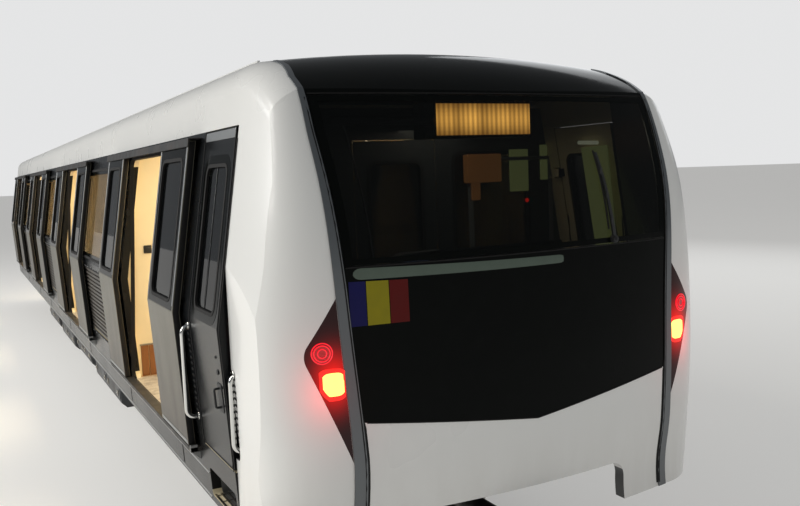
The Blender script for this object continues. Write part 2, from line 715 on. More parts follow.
def door_tracks():
    """Brackets and end stops of the guide rails, and screws and a brush along the top channels."""
    brackets, screws, brush = pieces(3)
    foot, cover = LEAF_BOTTOM - 0.008, LEAF_TOP + 0.008
    for centre in DOOR_CENTRES:
        x0, x1 = centre - RAIL_HALF, centre + RAIL_HALF
        for x in spaced(x0 + 0.06, x1 - 0.06, 0.5):
            lengthwise(brackets, (x - 0.008, x + 0.008), foot,
                       ((-0.029, -0.001), (-0.029, 0.062), (-0.045, 0.056), (-0.100, -0.001)))
            screw(screws, RIGHT, x + 0.03, foot - 0.015, 0.069)
        for x in (x0, x1 - 0.012):
            plate(brackets, RIGHT, (x, x + 0.012, foot - 0.030, foot + 0.018, 0.004), 0.024, 0.072)
        for x in spaced(x0 + 0.05, x1 - 0.05, 0.3):
            screw(screws, RIGHT, x, cover - 0.008, 0.080)
        brush.tube([skin(RIGHT, x, LEAF_TOP - 0.036, 0.0805) for x in (x0, x1)], 0.0035, 6)
    brackets.both("door_guide_brackets", SILL)
    screws.both("door_track_screws", STEEL, slot="sill_metal")
    brush.both("door_channel_brushes", RUBBER)


# Side walls

WINDOW_LOW, WINDOW_HIGH, WINDOW_RADIUS = 2.100, 3.030, 0.080
WINDOW_REACH = DOORWAY_HALF + 0.250
WINDOW_SPANS = [(behind + WINDOW_REACH, ahead - WINDOW_REACH)
                for ahead, behind in zip(DOOR_CENTRES, DOOR_CENTRES[1:])]
WINDOW_SPANS.append((-9.205, DOOR_CENTRES[-1] - WINDOW_REACH))


def side_windows():
    """Borders, gaskets and inner reveals of the windows, and the gaskets and screws of the ribbed panels."""
    border, gasket, screws, reveal = pieces(4)
    for x0, x1 in WINDOW_SPANS:
        window = (x0, x1, WINDOW_LOW, WINDOW_HIGH, WINDOW_RADIUS)
        rim(border, RIGHT, grown(window, -0.045), 0.045, 0.0002, 0.0012, edge=0.0004)
        rim(gasket, RIGHT, window, 0.016, 0.0, 0.006, 0.010)
        rim(gasket, RIGHT, (x0, x1, 1.280, 1.980, 0.004), 0.014, 0.0, 0.004, 0.004)
        rim(reveal, RIGHT, window, 0.030, -WALL - 0.012, -WALL + 0.002, 0.012)
        spots = [(x, z) for x in spaced(x0 + 0.04, x1 - 0.04, 0.18) for z in (1.262, 1.998)]
        spots += [(x, z) for z in spaced(1.36, 1.90, 0.18) for x in (x0 - 0.018, x1 + 0.018)]
        for x, z in spots:
            screw(screws, RIGHT, x, z, 0.001)
    border.both("side_window_borders", BLACK)
    gasket.both("side_gaskets", RUBBER)
    screws.both("ribbed_panel_screws", SILL)
    reveal.both("window_reveals", CREAM)


def wall_seams():
    """Joint strips between wall panels, the doorways' seals and the skirt's drip strips."""
    seams, lining, drip = pieces(3)
    for centre in DOOR_CENTRES:
        for x in (centre - DOORWAY_HALF - 0.235, centre + DOORWAY_HALF + 0.235):
            upright(seams, RIGHT, x, (0.90, KINK_Z, CANTRAIL_Z - 0.01),
                    ((-0.004, 0), (-0.003, 0.0025), (0.003, 0.0025), (0.004, 0)))
        hole = (centre - DOORWAY_HALF, centre + DOORWAY_HALF, FLOOR_Z, 3.080, 0.060)
        lip = grown(hole, 0.018)
        lining.loft(laid(RIGHT, [(lip, 0.0), (lip, 0.010), (hole, 0.012), (grown(hole, -0.006), -0.020),
                                 (grown(hole, -0.002), -0.022)]), True)
    for z in (0.872, 1.030):
        lengthwise(drip, (-9.46, 8.05), z, ((0.0, -0.0005), (0.004, 0.003), (0.012, 0.003), (0.016, -0.0005)))
    seams.both("wall_panel_seams", RUBBER)
    lining.both("doorway_seals", RUBBER)
    drip.both("skirt_strips", SILL)


def thresholds():
    sill, ridge = FLOOR_Z + 0.004, FLOOR_Z + 0.0065
    piece = Piece()
    y0 = WALL - side_y(FLOOR_Z)
    for centre in DOOR_CENTRES:
        x0, x1 = centre - DOORWAY_HALF + 0.01, centre + DOORWAY_HALF - 0.01
        piece.block((x0, y0 - 0.055, FLOOR_Z), (x1, y0 + 0.16, sill), 0.0015)
        for k in range(9):
            y = y0 - 0.045 + k * 0.022
            piece.block((x0 + 0.02, y, sill), (x1 - 0.02, y + 0.009, ridge), 0.001)
    piece.both("doorway_thresholds", TREAD)


for name in NODES:
    if name.startswith(("door_right", "door_left")):
        dress_leaf(name)
door_tracks()
side_windows()
wall_seams()
thresholds()

# Cab doors

CAB_DOOR_X0, CAB_DOOR_X1 = 8.031, 8.643
CAB_DOOR_LOW, CAB_DOOR_HIGH = 1.234, 3.166
CAB_WINDOW = (8.121, 8.553, 2.110, 2.960, 0.060)
HANDLE_X, HANDLE_Z = CAB_DOOR_X1 - 0.085, 1.640
STEP_Z = 0.905


def dress_cab_door(name, side):
    x0, x1, x, z = CAB_DOOR_X0, CAB_DOOR_X1, HANDLE_X, HANDLE_Z
    pane, border, seals, bright, handle, inner = pieces(6)
    plate(pane, side, grown(CAB_WINDOW, 0.0005), -0.020, -0.014)
    rim(border, side, CAB_WINDOW, 0.060, 0.0002, 0.0014, edge=0.0004)
    rim(seals, side, CAB_WINDOW, 0.010, -0.012, 0.004, 0.012)
    rim(seals, side, CAB_WINDOW, 0.010, -WALL - 0.003, -0.030, 0.012)
    leaf = (x0 + 0.012, x1 - 0.012, CAB_DOOR_LOW + 0.012, CAB_DOOR_HIGH - 0.012, 0.01)
    rim(seals, side, leaf, 0.009, -0.002, 0.0025)
    plate(bright, side, (8.300, 8.306, 2.125, 2.945, 0.002), -0.013, -0.009)
    plate(bright, side, (x0 + 0.004, x1 - 0.004, 3.107, 3.160, 0.004), 0.0, 0.003)
    kick = (x0 + 0.03, x1 - 0.03, CAB_DOOR_LOW + 0.02, CAB_DOOR_LOW + 0.14, 0.01)
    plate(bright, side, kick, -WALL - 0.002, -WALL)
    plate(handle, side, (x - 0.045, x + 0.045, z - 0.085, z + 0.085, 0.015), 0.0, 0.004)
    grip = ((-0.055, 0.003), (-0.055, 0.034), (0.055, 0.034), (0.055, 0.003))
    handle.tube(rounded_path([skin(side, x, z + dz, out) for dz, out in grip], 0.012), 0.007)
    handle.disc(skin(side, x, z + 0.150, 0.0), (0, side, 0), 0.016, 0.006, 20, 0.002)
    handle.disc(skin(side, x - 0.012, z + 0.235, 0.0), (0, side, 0), 0.009, 0.005, 16, 0.002)
    plate(inner, side, (x - 0.050, x + 0.050, z - 0.11, z + 0.19, 0.012), -WALL - 0.016, -WALL)
    lever = ((0, -0.010), (0, -0.050), (-0.11, -0.050))
    inner.tube(rounded_path([skin(side, x + dx, z + 0.02, out - WALL) for dx, out in lever], 0.015), 0.008)
    pane.finish(name + "_pane", DOOR_GLASS, name)
    border.finish(name + "_window_border", BLACK, name)
    seals.finish(name + "_seals", RUBBER, name)
    bright.finish(name + "_strips", FRAME_METAL, name)
    handle.finish(name + "_handle", PLASTIC, name)
    inner.finish(name + "_lock_case", GREY_PLASTIC, name)


def cab_doorsides():
    """Rubber edging round the cab doorway, rail feet and the ridged treads of the steps."""
    edging, feet, tread = pieces(3)
    for x in (8.019, 8.655):
        upright(edging, RIGHT, x, (1.23, KINK_Z, 3.168), ((-0.008, 0), (-0.006, 0.004), (0.003, 0.004), (0.004, 0)))
    for k in range(14):
        z = 1.42 + k * 0.038
        plate(edging, RIGHT, (7.930, 7.980, z, z + 0.016, 0.004), 0.0, 0.004)
    for x, z, out in ((7.955, 1.390, 0.0), (7.955, 1.975, 0.0), (8.714, 1.358, -0.042), (8.714, 1.798, -0.042)):
        feet.disc(skin(RIGHT, x, z, out), (0, RIGHT, 0), 0.026, 0.006, 24, 0.002)
        for spot in circle((x, 0, z), ACROSS, 0.0205, 3, 30):
            screw(feet, RIGHT, spot.x, spot.z, out + 0.005, 0.0035, 0.0025)
    y0, y1 = 0.012 - side_y(STEP_Z), WALL + 0.10 - side_y(STEP_Z)
    for y in spaced(y0, y1, 0.037):
        tread.block((8.09, y - 0.007, STEP_Z), (8.61, y + 0.007, STEP_Z + 0.005), 0.0015)
    for x in spaced(8.12, 8.58, 0.115):
        tread.block((x - 0.005, y0, STEP_Z), (x + 0.005, y1, STEP_Z + 0.004), 0.0015)
    edging.both("cab_doorway_edging", RUBBER)
    feet.both("grab_rail_feet", CHROME)
    tread.both("step_treads", STEEL, slot="sill_metal")


dress_cab_door("cab_door_right", RIGHT)
dress_cab_door("cab_door_left", LEFT)
cab_doorsides()

# Front

FRONT_NODES = ("nose_mask", "front_frame", "windscreen", "front_panel", "nose_panel", "nose_fairing",
               "lamp_housings", "lamp_lenses")
# The front frame's strips: height, outer half width and width.
FRAME_EDGES = [(0.500, 1.088, 0.068), (1.400, 1.088, 0.068), (2.300, 1.138, 0.058), (3.100, 1.182, 0.036),
               (3.400, 1.182, 0.030), (3.480, 1.150, 0.028), (4.000, 1.150, 0.028)]
JOINT = 0.012


def surface_of(names):
    """A tree of the named nodes' surfaces, to lay pieces on them."""
    points, faces = [], []
    for name in names:
        base, mesh = len(points), NODES[name].data
        points += [v.co.copy() for v in mesh.vertices]
        faces += [tuple(base + k for k in p.vertices) for p in mesh.polygons]
    return BVHTree.FromPolygons(points, faces)


FRONT = surface_of(FRONT_NODES)


def on_front(y, z, out=0.0):
    """A point on the nose seen from the front, moved forwards by out."""
    aside = (0.0, 0.004, -0.004, 0.012, -0.012)
    hits = (FRONT.ray_cast(Vector((11.0, y + step, z)), Vector((-1, 0, 0)))[0] for step in aside)
    return Vector((next(hit for hit in hits if hit).x + out, y, z))


def section(y, profile):
    """Points up the front at one place across, from (height, distance out) pairs."""
    return [on_front(y, z, out) for z, out in profile]


def strip_y(z):
    """The front frame's inner half width."""
    for (z0, y0, w0), (z1, y1, w1) in zip(FRAME_EDGES, FRAME_EDGES[1:]):
        if z <= z1:
            t = max(z - z0, 0) / (z1 - z0)
            return y0 + (y1 - y0) * t - (w0 + (w1 - w0) * t)


def stripes():
    """Three plain stripes on the right of the black panel."""
    first = -1.067
    for name, paint, y0, y1 in (("blue_panel", BLUE, first, -0.980), ("yellow_panel", YELLOW, -0.976, -0.857),
                                ("red_panel", RED, -0.853, -0.751)):
        rows = []
        for y in spaced(y0, y1, (y1 - y0) / 4):
            low, high = 2.110, 2.338 - (y - first) * 0.03
            rows.append(section(y, ((low, 0.0002), (low, 0.001), (high, 0.001), (high, 0.0002))))
        Piece().loft(rows).finish(name, paint)


def tail_lamps():
    """The lit block and its red rim, and the rings of the unlit lamp above it."""
    glow, core, rings = pieces(3)
    for piece, y0, y1, low, high, out in ((glow, -1.244, -1.114, 1.748, 1.912, 0.0012),
                                          (core, -1.228, -1.120, 1.772, 1.890, 0.0030)):
        rows = []
        for n, y in enumerate(spaced(y0, y1, (y1 - y0) / 12)):
            cut = 0.016 * abs(n / 6 - 1) ** 4
            foot = low + cut + max(0.0, -(y + 1.200)) * 0.9
            head = high - cut
            rows.append(section(y, ((foot, -0.002), (foot, out), ((foot + high) / 2, out + 0.001), (head, out),
                                    (head, -0.002))))
        piece.loft(rows)
    for radius in (0.052, 0.040, 0.022):
        spots = circle((0, -1.222, 1.992), ALONG, radius, 48)
        rings.tube([on_front(spot.y, spot.z, 0.001) for spot in spots + spots[:1]], 0.0035, 6)
    glow.both("tail_lamp_glow", LAMP_RED)
    core.both("tail_lamp_core", LAMP_LIT)
    rings.both("lamp_rings", RING_RED)


def frame_joints():
    """The dark joint between each strip of the front frame and the panels inside it."""
    rows = []
    for z in spaced(0.862, 3.280, 0.08):
        y = -strip_y(z)
        outer, inner = on_front(y - JOINT, z).x, on_front(y + (0.015 if z < 1.62 else 0.004), z)
        rows.append([(outer - 0.001, y - JOINT, z), (outer + 0.0012, y - JOINT, z), (outer + 0.0012, y + 0.001, z),
                     (inner.x + 0.0010, inner.y, z), (inner.x - 0.001, inner.y, z)])
    Piece().loft(rows).both("front_frame_joints", RUBBER)


def panel_joints():
    """Joints between the black panel, the lower white panel and the windscreen."""
    joint = Piece()
    for low, rise, limit in ((1.487, 0.127, 1.012), (2.409, 0, strip_y(2.408) - JOINT),
                             (3.299, 0, strip_y(3.298) - JOINT)):
        joint.tube([on_front(y, low + rise * min(abs(y) / 1.016, 1.0), 0.0005)
                    for y in spaced(-limit, limit, 0.06)], 0.004, 6)
    joint.finish("front_panel_joints", RUBBER)


def screen_foot_strip():
    """The pale strip under the windscreen, thick at its round right end."""
    start, end = -1.000, 0.200
    rows = []
    for y in [-1.041, -1.038, -1.030, -1.018] + spaced(start, end, 0.04) + [0.215, 0.225, 0.230]:
        along = min(max((y - start) / (end - start), 0), 1)
        middle = 2.374 - 0.016 * math.sin(along * math.pi / 2)
        tip = max(start - y, y - end, 0) / 0.041
        half = (0.029 - 0.006 * along) * math.sqrt(max(1 - tip * tip, 0.02))
        low, high = middle - half, middle + half
        rows.append(section(y, ((low, 0.0002), (low, 0.0010), (middle, 0.0030), (high, 0.0010), (high, 0.0002))))
    Piece().loft(rows).finish("screen_foot_strip", PALE_GREEN)


def mask_fittings():
    """A rubber edge along the mask's rear end, and the niches' ribbed backs."""
    edge, ribs = pieces(2)
    upright(edge, RIGHT, 8.678, spaced(0.98, 3.10, 0.12),
            ((-0.005, -0.001), (-0.004, 0.002), (0.004, 0.002), (0.005, -0.001)))
    for k in range(12):
        z = 1.350 + k * 0.038
        plate(ribs, RIGHT, (8.690, 8.740, z, z + 0.014, 0.003), -0.042, -0.037)
    edge.both("mask_rear_edge", RUBBER)
    ribs.both("niche_ribs", PLASTIC)


def screen_border():
    """The black printed border of the windscreen."""
    low, high, foot, side = 2.42, 3.285, 0.030, 0.045
    loops = []
    for inset, out in ((0, 0.0003), (0, 0.0012), (1, 0.0012), (1, 0.0003)):
        loop = []
        z0, z1 = low + inset * foot, high - inset * foot
        corners = [(-1, z0), (1, z0), (1, z1), (-1, z1)]
        for (s0, za), (s1, zb) in zip(corners, corners[1:] + corners[:1]):
            for k in range(14):
                z, s = za + (zb - za) * k / 14, s0 + (s1 - s0) * k / 14
                loop.append(on_front(s * (strip_y(z) - JOINT - inset * side), z, out))
        loops.append(loop)
    Piece().loft(loops, True).finish("windscreen_border", BLACK)


def display_face():
    """Rows of lit columns behind the display's face, and its rim."""
    field, border = pieces(2)
    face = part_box("display_box")[1].x
    z0, z1, rows = 3.080, 3.264, 8
    pitch = (z1 - z0) / rows
    for y in spaced(-0.290, 0.350, 0.022):
        for n in range(rows):
            z = z0 + pitch * n
            field.block((face - 0.001, y, z), (face + 0.004, y + 0.0205, z + pitch - 0.0006), 0.0006)
    for y0, y1, low, high in ((-0.362, 0.369, z0 - 0.012, z0 - 0.002), (-0.362, 0.369, z1 + 0.002, z1 + 0.012),
                              (-0.306, -0.296, z0 - 0.012, z1 + 0.012)):
        border.block((face - 0.002, y0, low), (face + 0.008, y1, high), 0.002)
    field.finish("display_light_field", AMBER)
    border.finish("display_rim", PLASTIC)


def wiper_parts():
    blade, fittings = pieces(2)
    blade.tube([on_front(0.585 - 0.03 * t, 2.50 + 0.46 * t, 0.008) for t in spaced(0, 1, 1 / 14)], 0.006, 6)
    base = on_front(0.620, 2.440, 0.022)
    fittings.disc(base, ALONG, 0.018, 0.012, 20, 0.003)
    fittings.bolt(base + Vector((0.011, 0, 0)), ALONG, 0.009, 0.008)
    for z in (2.56, 2.70, 2.84):
        spot = on_front(0.617 - 0.118 * (z - 2.44), z, 0.012)
        fittings.block(spot + Vector((-0.004, -0.008, -0.02)), spot + Vector((0.016, 0.008, 0.02)), 0.003)
    blade.finish("wiper_blade", RUBBER)
    fittings.finish("wiper_fittings", PLASTIC)


for build in (stripes, tail_lamps, frame_joints, panel_joints, mask_fittings, screen_border, screen_foot_strip,
              display_face, wiper_parts):
    build()

# Saloon

BAYS = [-4.6 * k for k in range(3)]
SCREEN_PLACES = [(x + bay, s) for bay in BAYS for x, s in ((2.535, -1), (5.515, 1))] + [(7.135, -1), (-8.285, 1)]
SEAT_GAP = 0.012
SEAT_PITCH = (2.950 + SEAT_GAP) / 6
SEAT_FRONT = 0.520 - (side_y(2.058) - WALL)


def ceiling_lights():
    light, rail, grille = pieces(3)
    top = CEILING_Z + 0.001
    for y in (-0.62, 0.62):
        for k in range(12):
            x = -9.2 + k * 1.40
            light.block((x, y - 0.085, CEILING_Z - 0.022), (x + 1.32, y + 0.085, top), 0.008)
        for a in (y - 0.095, y + 0.095):
            rail.block((-9.25, a - 0.008, CEILING_Z - 0.026), (7.6, a + 0.008, top), 0.003)
    for x in spaced(-8.9, 7.1, 1.6):
        for end in (x - 0.45, x + 0.42):
            grille.block((end, -0.13, CEILING_Z - 0.006), (end + 0.03, 0.13, top), 0.002)
        for y in spaced(-0.12, 0.12, 0.03):
            grille.block((x - 0.43, y - 0.004, CEILING_Z - 0.009), (x + 0.43, y + 0.004, top), 0.002)
    light.finish("ceiling_light_covers", WARM_LIGHT)
    rail.finish("ceiling_light_rails", SILL)
    grille.finish("ceiling_air_grilles", GREY_PLASTIC)


def screen_panels():
    """Brown boards, edge strips and a button plate on each draught screen."""
    boards, strips, plates, buttons = pieces(4)
    for x, toward in SCREEN_PLACES:
        for low in (x + 0.030, x - 0.006):
            for y in spaced(-1.38, -1.03, 0.07):
                boards.block((low, y - 0.033, FLOOR_Z + 0.002), (low + 0.006, y + 0.033, 1.430), 0.002)
            strips.block((low, -1.42, 1.432), (low + 0.006, -0.985, 1.446), 0.002)
        face = x + 0.030 if toward > 0 else x
        low, high = sorted((face, face + toward * 0.012))
        plates.block((low, -1.330, 2.255), (high, -1.262, 2.325), 0.004)
        buttons.disc((face + toward * 0.011, -1.296, 2.290), (toward, 0, 0), 0.022, 0.006, 24, 0.002)
        bar = ((-0.960, FLOOR_Z + 0.01), (-0.960, 2.500), (-1.098, 2.896))
        strips.tube([(x + 0.015, y, z) for y, z in bar], 0.017)
    boards.both("screen_kick_boards", KICK)
    strips.both("screen_edge_strips", SILL)
    plates.both("screen_button_plates", PLASTIC)
    buttons.both("screen_buttons", PLASTIC)


def seat_cushions():
    """Padded inserts in each seat shell, held by small studs."""
    pads, studs = pieces(2)
    front = SEAT_FRONT
    for x0 in [2.600 + bay + k * SEAT_PITCH for bay in BAYS for k in range(6)]:
        x1 = x0 + SEAT_PITCH - SEAT_GAP - 0.070
        seat, back = [], []
        for x, lift in ((x0, 0.012), (x0 + 0.012, 0.022), (x1 - 0.012, 0.022), (x1, 0.012)):
            seat.append([(x, front - 0.035, 1.598), (x, front - 0.045, 1.600 + lift),
                         (x, front - 0.290, 1.588 + lift), (x, front - 0.300, 1.580)])
            back.append([(x, front - 0.354, 1.635), (x, front - 0.358 + lift, 1.640),
                         (x, front - 0.420 + lift, 2.005), (x, front - 0.424, 2.010)])
        pads.loft(seat).loft(back)
        for x in (x0 + 0.02, x1 - 0.02):
            studs.disc((x, front - 0.020, 1.601), UP, 0.007, 0.004, 12, 0.001)
    pads.both("seat_pads", CUSHION)
    studs.both("seat_studs", CHROME)


def strap_hangers():
    strap, grips = pieces(2)
    for x in [x + bay for bay in BAYS for x in spaced(2.95, 5.15, 0.44)]:
        for y0, y1, z0, z1 in ((-0.9415, -0.9385, 2.870, 3.078), (-0.9055, -0.9025, 2.870, 3.078),
                               (-0.9415, -0.9025, 3.076, 3.080)):
            strap.block((x - 0.014, y0, z0), (x + 0.014, y1, z1), 0.001)
        turn = full_turn(20) + [math.tau]
        grips.tube([(x, -0.922 + 0.055 * math.sin(a), 2.825 + 0.055 * math.cos(a)) for a in turn], 0.0085, 8)
        grips.block((x - 0.012, -0.943, 2.866), (x + 0.012, -0.901, 2.890), 0.003)
    strap.both("hanger_straps", RUBBER)
    grips.both("hanger_grips", SEAT)


def doorway_headers():
    """Covers over the doorways inside, with a lamp strip and a plain panel above each."""
    covers, lamps, panels = pieces(3)
    low, high = Vector((0, -1.180, 3.112)), Vector((0, -1.120, 3.328))
    for centre in DOOR_CENTRES:
        covers.loft([[(x, -1.335, 3.100), (x, low.y, low.z), (x, high.y, high.z), (x, -1.270, high.z)]
                     for x in (centre - 0.752, centre + 0.752)])
        for piece, a, b, half in ((panels, 0.25, 0.80, 0.46), (lamps, 0.05, 0.14, 0.60)):
            foot, head = low.lerp(high, a), low.lerp(high, b)
            piece.loft([[(x, foot.y - 0.002, foot.z), (x, foot.y + 0.006, foot.z), (x, head.y + 0.006, head.z),
                         (x, head.y - 0.002, head.z)] for x in (centre - half, centre + half)])
    covers.both("doorway_header_covers", CREAM)
    panels.both("doorway_plain_panels", BLACK)
    lamps.both("doorway_lamp_strips", RED_SPOT)


def saloon_trim():
    """Skirtings, heater grilles under the benches and floor strips."""
    skirting, grilles, strips = pieces(3)
    back = SEAT_FRONT - 0.200
    for bay in BAYS:
        x0, x1 = 2.575 + bay, 5.505 + bay
        skirting.block((x0, back, FLOOR_Z), (x1, back + 0.014, FLOOR_Z + 0.070), 0.003)
        for x in spaced(x0 + 0.20, x1 - 0.20, 0.62):
            for up in spaced(0.110, 0.266, 0.026):
                lean, z = back + 0.030 * up / 0.395, FLOOR_Z + up
                grilles.block((x - 0.18, lean - 0.002, z), (x + 0.18, lean + 0.006, z + 0.010), 0.002)
    for y in (-0.34, 0.34):
        strips.block((-9.40, y - 0.012, FLOOR_Z), (7.80, y + 0.012, FLOOR_Z + 0.002), 0.0005)
    skirting.both("bench_skirtings", SILL)
    grilles.both("heater_grilles", GREY_PLASTIC)
    strips.finish("floor_joint_strips", RUBBER)


for build in (ceiling_lights, screen_panels, seat_cushions, strap_hangers, doorway_headers, saloon_trim):
    build()

# Cab

BULKHEAD_REAR, BULKHEAD_FRONT = 7.850, 7.890
WALL_FACE = BULKHEAD_FRONT + 0.002
DESK_START = Vector((8.760, 0, 2.080))
DESK_SLOPE = Vector((0.320, 0, 0.250)).normalized()
DESK_NORMAL = Vector((-DESK_SLOPE.z, 0, DESK_SLOPE.x))


def bulkhead_parts():
    """The panes, gaskets and door handle of the bulkhead."""
    panes, gaskets, door_pane, rims, handle = pieces(5)
    door_hole = (-0.214, 0.214, 2.100, 2.950, 0.060)
    fixed = [(y, y + 0.670, 2.100, 3.000, 0.060) for y in (-1.150, 0.480)]
    for pane, hole in [(panes, hole) for hole in fixed] + [(door_pane, door_hole)]:
        pane.loft(laid(None, [(grown(hole, 0.0005), x) for x in (7.867, 7.873)]))
    for hole in fixed:
        across_rim(gaskets, hole, 0.014, BULKHEAD_FRONT - 0.012, BULKHEAD_FRONT + 0.004)
        across_rim(gaskets, hole, 0.014, BULKHEAD_REAR - 0.004, BULKHEAD_REAR + 0.012)
    across_rim(rims, door_hole, 0.012, 7.878, 7.8915)
    across_rim(rims, door_hole, 0.012, 7.8485, 7.862)
    y, z = -0.262, 2.020
    for x, s in ((BULKHEAD_REAR + 0.002, -1), (BULKHEAD_FRONT - 0.002, 1)):
        out = x + s * 0.042
        handle.disc((x, y, z), (s, 0, 0), 0.022, 0.008, 24, 0.002)
        handle.tube(rounded_path([(x, y, z), (out, y, z), (out, -0.150, z)], 0.012), 0.008)
        handle.disc((x, y, 1.940), (s, 0, 0), 0.013, 0.005, 20, 0.001)
    panes.finish("bulkhead_panes", BULKHEAD_GLASS)
    gaskets.finish("bulkhead_gaskets", RUBBER)
    door_pane.finish("bulkhead_door_pane", BULKHEAD_GLASS, "bulkhead_door")
    rims.finish("bulkhead_door_gaskets", RUBBER, "bulkhead_door")
    handle.finish("bulkhead_door_handle", CHROME, "bulkhead_door")


def cab_lining():
    """Posts, the tapered side panel, a high cabinet and the lamp on the bulkhead's cab side."""
    posts, cabinet, panel, bar, lockers, spot = pieces(6)
    for piece, y0, y1, z0, z1, depth, edge in (
        (posts, 0.596, 0.636, 2.150, 2.960, 0.020, 0.004), (posts, 1.340, 1.372, 2.150, 2.960, 0.020, 0.004),
        (posts, 0.600, 1.370, 2.136, 2.164, 0.016, 0.003), (posts, 0.600, 1.370, 2.936, 2.964, 0.016, 0.003),
        (cabinet, 0.562, 0.862, 2.780, 2.990, 0.068, 0.006), (cabinet, 0.615, 0.690, 2.650, 2.790, 0.038, 0.006),
        (panel, 0.975, 1.150, 2.700, 3.020, 0.010, 0.003), (panel, 1.265, 1.335, 2.780, 3.050, 0.010, 0.003),
        (lockers, -1.150, -0.480, FLOOR_Z + 0.002, 1.950, 0.258, 0.008),
    ):
        piece.block((WALL_FACE, y0, z0), (WALL_FACE + depth, y1, z1), edge)
    corners = [(8.344, 3.004), (8.612, 3.013), (8.716, 2.193), (8.507, 2.177)]
    panel.loft([[(x, y, z) for x, z in corners] for y in (1.300, 1.312)])
    bar.tube([(8.330, 1.292, 3.044), (8.530, 1.292, 3.034)], 0.014, 12)
    for z in (1.30, 1.56, 1.82):
        lockers.block((8.150, -1.120, z - 0.115), (8.158, -0.510, z + 0.115), 0.003)
        pull = ((8.156, -0.60), (8.180, -0.60), (8.180, -0.54), (8.156, -0.54))
        lockers.tube(rounded_path([(x, y, z) for x, y in pull], 0.008), 0.004, 8)
    spot.disc((WALL_FACE + 0.001, 1.133, 2.628), ALONG, 0.016, 0.008, 20, 0.002)
    posts.finish("bulkhead_posts", GREY_PLASTIC, slot="cream_panel")
    cabinet.finish("high_cabinet", LIT_CABINET)
    panel.finish("pale_cab_panels", LIT_LINING)
    bar.finish("cab_side_lamp", SIDE_LAMP)
    lockers.finish("cab_lockers", GREY_PLASTIC, slot="cream_panel")
    spot.finish("cab_pilot_lamp", RED_SPOT)


def on_desk(along, y, up=0.0):
    """A point on the desk's sloping top."""
    return DESK_START + DESK_SLOPE * along + DESK_NORMAL * up + Vector((0, y, 0))


def slab(piece, along, y, half_along, half_y, thick):
    a0, a1, y0, y1 = along - half_along, along + half_along, y - half_y, y + half_y
    piece.loft([[on_desk(a0, y0, up), on_desk(a1, y0, up), on_desk(a1, y1, up), on_desk(a0, y1, up)]
                for up in (-0.002, thick)])


def desk_parts():
    """The desk's screens, keys, levers and its rounded front edge, and the driver's seat pads."""
    cases, glass, keys, lever, edge, seat = pieces(6)
    for y in (-0.62, -0.22, 0.20, 0.60):
        slab(cases, 0.215, y, 0.125, 0.175, 0.022)
        slab(glass, 0.215, y, 0.105, 0.155, 0.024)
    for y in spaced(-0.86, 0.86, 0.075):
        slab(keys, 0.045, y, 0.016, 0.016, 0.012)
    for y in (-0.43, 0.42):
        foot = on_desk(0.07, y)
        lever.tube([foot, on_desk(0.05, y, 0.13)], 0.010)
        lever.disc(on_desk(0.05, y, 0.115), DESK_NORMAL, 0.024, 0.045, 20, 0.010)
        lever.block(foot - Vector((0.03, 0.02, 0.02)), foot + Vector((0.03, 0.02, 0.012)), 0.004)
    loops = []
    for y, z, r in ((-1.000, 2.379, 0.016), (-0.985, 2.379, 0.031), (-0.42, 2.334, 0.026), (0.18, 2.352, 0.020),
                    (0.62, 2.372, 0.014), (0.66, 2.374, 0.006)):
        loops.append(circle((min(on_front(y, z).x - 0.024 - r, 9.300), y, z), ACROSS, r, 12))
    edge.loft(loops)
    seat.block((8.195, -0.205, 1.690), (8.655, 0.205, 1.745), 0.024)
    seat.block((8.288, -0.195, 1.790), (8.330, 0.195, 2.290), 0.018)
    for y in (-0.27, 0.27):
        seat.block((8.270, y - 0.028, 1.900), (8.560, y + 0.028, 1.945), 0.014)
    cases.finish("desk_screen_cases", PLASTIC, slot="desk_dark")
    glass.finish("desk_screens", SCREEN_LIGHT)
    keys.finish("desk_keys", GREY_PLASTIC, slot="desk_dark")
    lever.finish("desk_levers", PLASTIC, slot="desk_dark")
    edge.finish("desk_front_edge", PALE_GREEN, slot="desk_dark")
    seat.finish("driver_seat_pads", CUSHION)


def blind():
    """The rolled blind over the screen, with a guide rod down its right edge."""
    roll, guide = pieces(2)
    roll.disc((9.030, -0.985, 3.165), ACROSS, 0.026, 0.640, 20, 0.004)
    spots = [(-0.955 + 0.062 * t, 3.130 - 0.720 * t) for t in spaced(0, 1, 1 / 8)]
    guide.tube([on_front(y, z, -0.070) for y, z in spots], 0.005, 8)
    roll.finish("blind_roll", PLASTIC)
    guide.finish("blind_guide", SILL)


for build in (bulkhead_parts, cab_lining, desk_parts, blind):
    build()

# Roof

CROWN_TOP, CROWN_RISE = 3.610, 0.090
CROWN_RADIUS = (SHOULDER_Y**2 + CROWN_RISE**2) / (2 * CROWN_RISE)


def crown_z(y):
    """The height of the roof's skin at y, between the shoulders."""
    return CROWN_TOP - CROWN_RADIUS + math.sqrt(CROWN_RADIUS**2 - y * y)


def over_roof(piece, x0, x1, half, up, thick):
    """A strip across the roof that follows its crown."""
    rows = []
    for y in spaced(-half, half, half / 8):
        z = crown_z(y) + up
        rows.append([(x0, y, z), (x0, y, z + thick), (x1, y, z + thick), (x1, y, z)])
    piece.loft(rows)


def lifting_eye(piece, x, y):
    z = crown_z(y)
    arch = [(x + 0.028 * math.cos(a), y, z + 0.045 * math.sin(a)) for a in full_turn(16)[:9]]
    piece.tube([(x + 0.028, y, z - 0.004)] + arch + [(x - 0.028, y, z - 0.004)], 0.007, 8)
    piece.block((x - 0.045, y - 0.018, z - 0.003), (x + 0.045, y + 0.018, z + 0.006), 0.002)


